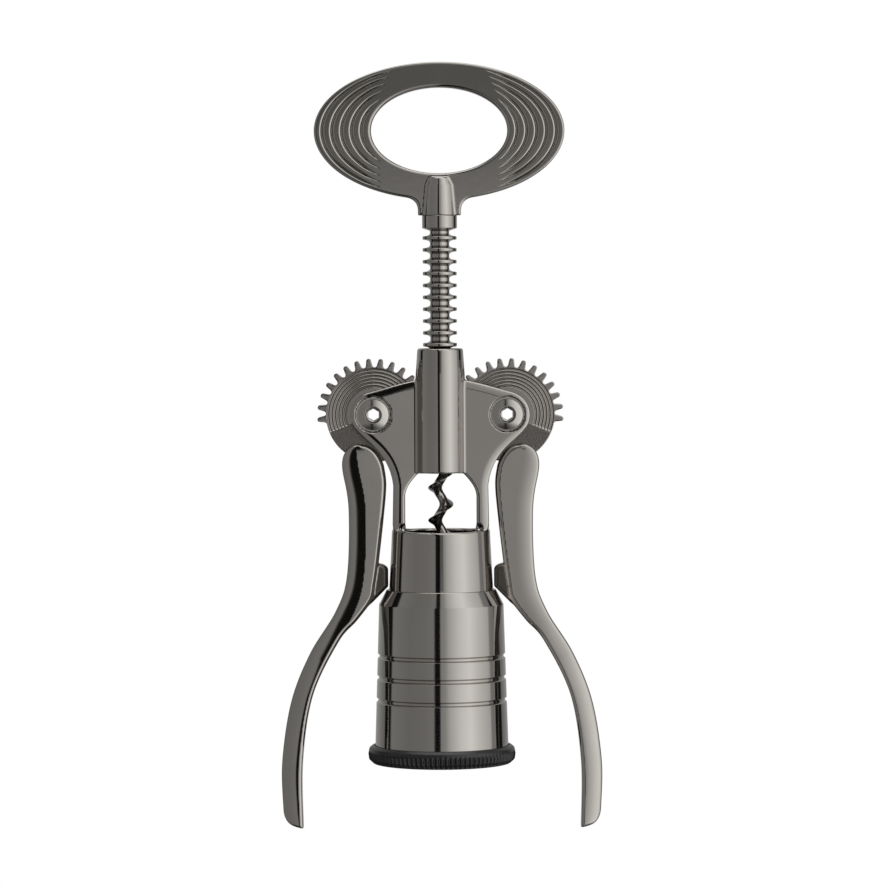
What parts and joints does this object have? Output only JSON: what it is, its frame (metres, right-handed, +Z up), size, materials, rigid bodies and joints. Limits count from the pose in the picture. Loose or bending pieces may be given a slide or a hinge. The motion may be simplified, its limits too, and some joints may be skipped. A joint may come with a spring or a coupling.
{
  "type": "double-lever corkscrew",
  "caption": "Double-lever wing corkscrew: ring handle, annular rack spindle, helical worm, geared levers, cast frame and a bell with a sprung centring cup.",
  "frame": {"origin": "centre of the bell's mouth on the spindle axis, at the bottom face of the rubber ring, where the object stands over a bottle's neck", "axes": "+Z up the spindle axis towards the ring handle, -Y the front, +X towards the right lever as seen from the front"},
  "size_m": [0.113, 0.052, 0.2695],
  "materials": {
    "casting": "zinc alloy casting, polished and plated black chrome",
    "turned": "turned metal with fine turning lines, plated black chrome",
    "worm": "dark plated hardened steel",
    "bolt": "turned steel with circular brushing, dark plated",
    "bush": "plain sintered bronze",
    "spring": "bright spring steel",
    "cup": "satin black moulded plastic",
    "rubber": "satin black moulded rubber with fine ribs"
  },
  "bodies": {
    "frame": {"body_frame": "casting", "pivot_bolt_left": "bolt", "pivot_nut_left": "bolt", "pivot_bolt_right": "bolt", "pivot_nut_right": "bolt", "bell_sleeve": "turned", "bell_ring": "rubber", "cup_retaining_ring": "spring", "cup_spring": "spring"},
    "spindle_guide": {"upper_guide_bush": "bush", "lower_guide_bush": "bush"},
    "spindle": {"rack": "turned", "handle": "casting", "worm": "worm"},
    "lever_left": {"lever_left": "casting", "lever_bush_front_left": "bush", "lever_bush_rear_left": "bush"},
    "lever_right": {"lever_right": "casting", "lever_bush_front_right": "bush", "lever_bush_rear_right": "bush"},
    "cup": {"centring_cup": "cup"}
  },
  "joints": [
    {"name": "spindle_spin", "type": "hinge", "parent": "frame", "child": "spindle_guide", "pos_m": [0, 0, 0.1242], "axis": [0, 0, 1], "continuous": true},
    {"name": "spindle_slide", "type": "slide", "parent": "spindle_guide", "child": "spindle", "axis": [0, 0, 1], "range_m": [-0.044, 0]},
    {"name": "lever_left_hinge", "type": "hinge", "parent": "frame", "child": "lever_left", "pos_m": [-0.02355, 0, 0.1229], "axis": [0, 1, 0], "range_deg": [0, 136.2]},
    {"name": "lever_right_hinge", "type": "hinge", "parent": "frame", "child": "lever_right", "pos_m": [0.02355, 0, 0.1229], "axis": [0, -1, 0], "range_deg": [0, 136.2]},
    {"name": "cup_slide", "type": "slide", "parent": "frame", "child": "cup", "axis": [0, 0, 1], "range_m": [0, 0.008], "stiffness_N_per_m": 400, "springref_m": -0.005, "deforming": ["cup_spring"]}
  ],
  "couplings": [
    {"joint": "lever_left_hinge", "follows": "spindle_slide", "rad_per_m": -53.856},
    {"joint": "lever_right_hinge", "follows": "spindle_slide", "rad_per_m": -53.856}
  ]
}
